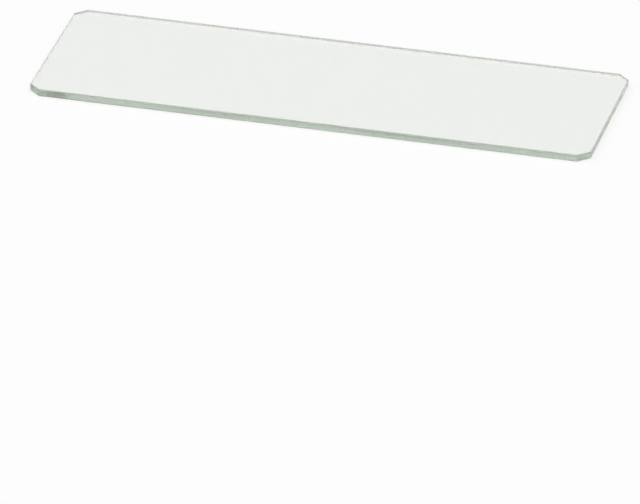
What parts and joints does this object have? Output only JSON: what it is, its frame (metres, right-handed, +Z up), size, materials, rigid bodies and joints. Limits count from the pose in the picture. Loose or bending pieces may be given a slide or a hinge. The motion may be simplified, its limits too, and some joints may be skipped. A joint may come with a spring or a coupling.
{
  "type": "microscope slide",
  "caption": "Thin flat plate of clear glass with clipped corners and finely ground edges, which carries a specimen under a microscope.",
  "frame": {"origin": "middle of the underside, the face that the slide lies on", "axes": "+X along the long side, +Y along the short side, +Z up through the thickness"},
  "size_m": [0.076, 0.026, 0.001],
  "materials": {
    "glass": "clear polished faces with a faint green cast through the thickness, finely ground edges"
  },
  "bodies": {
    "root": {"glass_slide": "glass"}
  },
  "joints": []
}
